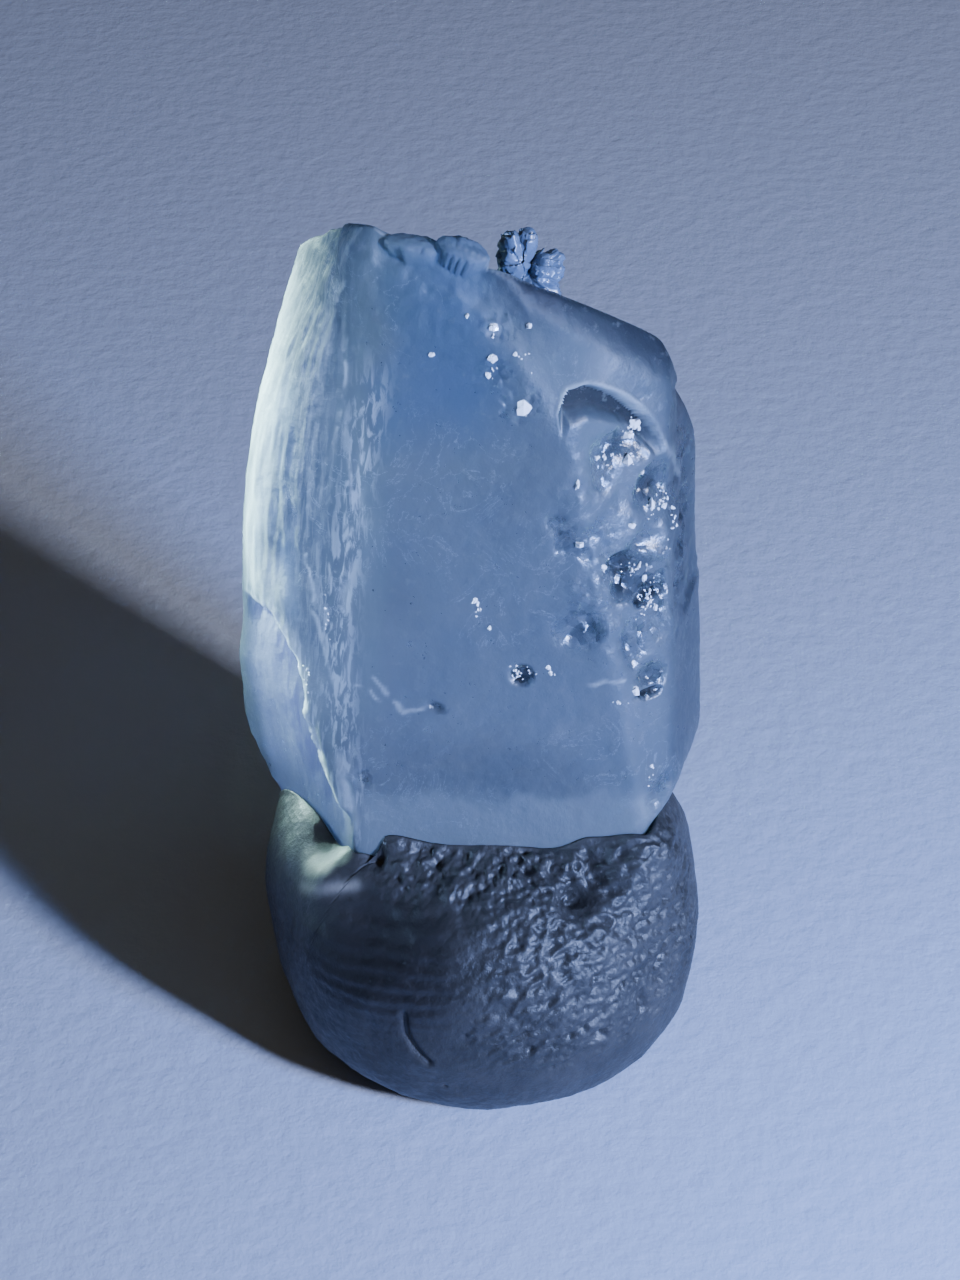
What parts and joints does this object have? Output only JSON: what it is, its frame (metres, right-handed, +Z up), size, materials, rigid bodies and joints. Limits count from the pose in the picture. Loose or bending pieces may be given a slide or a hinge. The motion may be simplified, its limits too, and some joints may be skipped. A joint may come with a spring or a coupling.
{
  "type": "aquamarine crystal specimen",
  "caption": "Upright chunky aquamarine crystal with flat worn faces, a broken corner and a small spur, held by a round lump of mounting putty.",
  "frame": {"origin": "middle of the putty's flat underside, where it rests on the table", "axes": "+Z up along the crystal, -Y out of the crystal's broad front face, +X to the right seen from the front"},
  "size_m": [0.0156, 0.0165, 0.031],
  "materials": {
    "aquamarine": "pale blue beryl, etched satin faces with white worn edges and glossy chips, see-through with milky haze",
    "mounting_putty": "dark blue-grey kneaded mounting putty, dull, with finger ridges and torn grain"
  },
  "bodies": {
    "root": {"aquamarine_crystal": "aquamarine", "putty_base": "mounting_putty"}
  },
  "joints": []
}
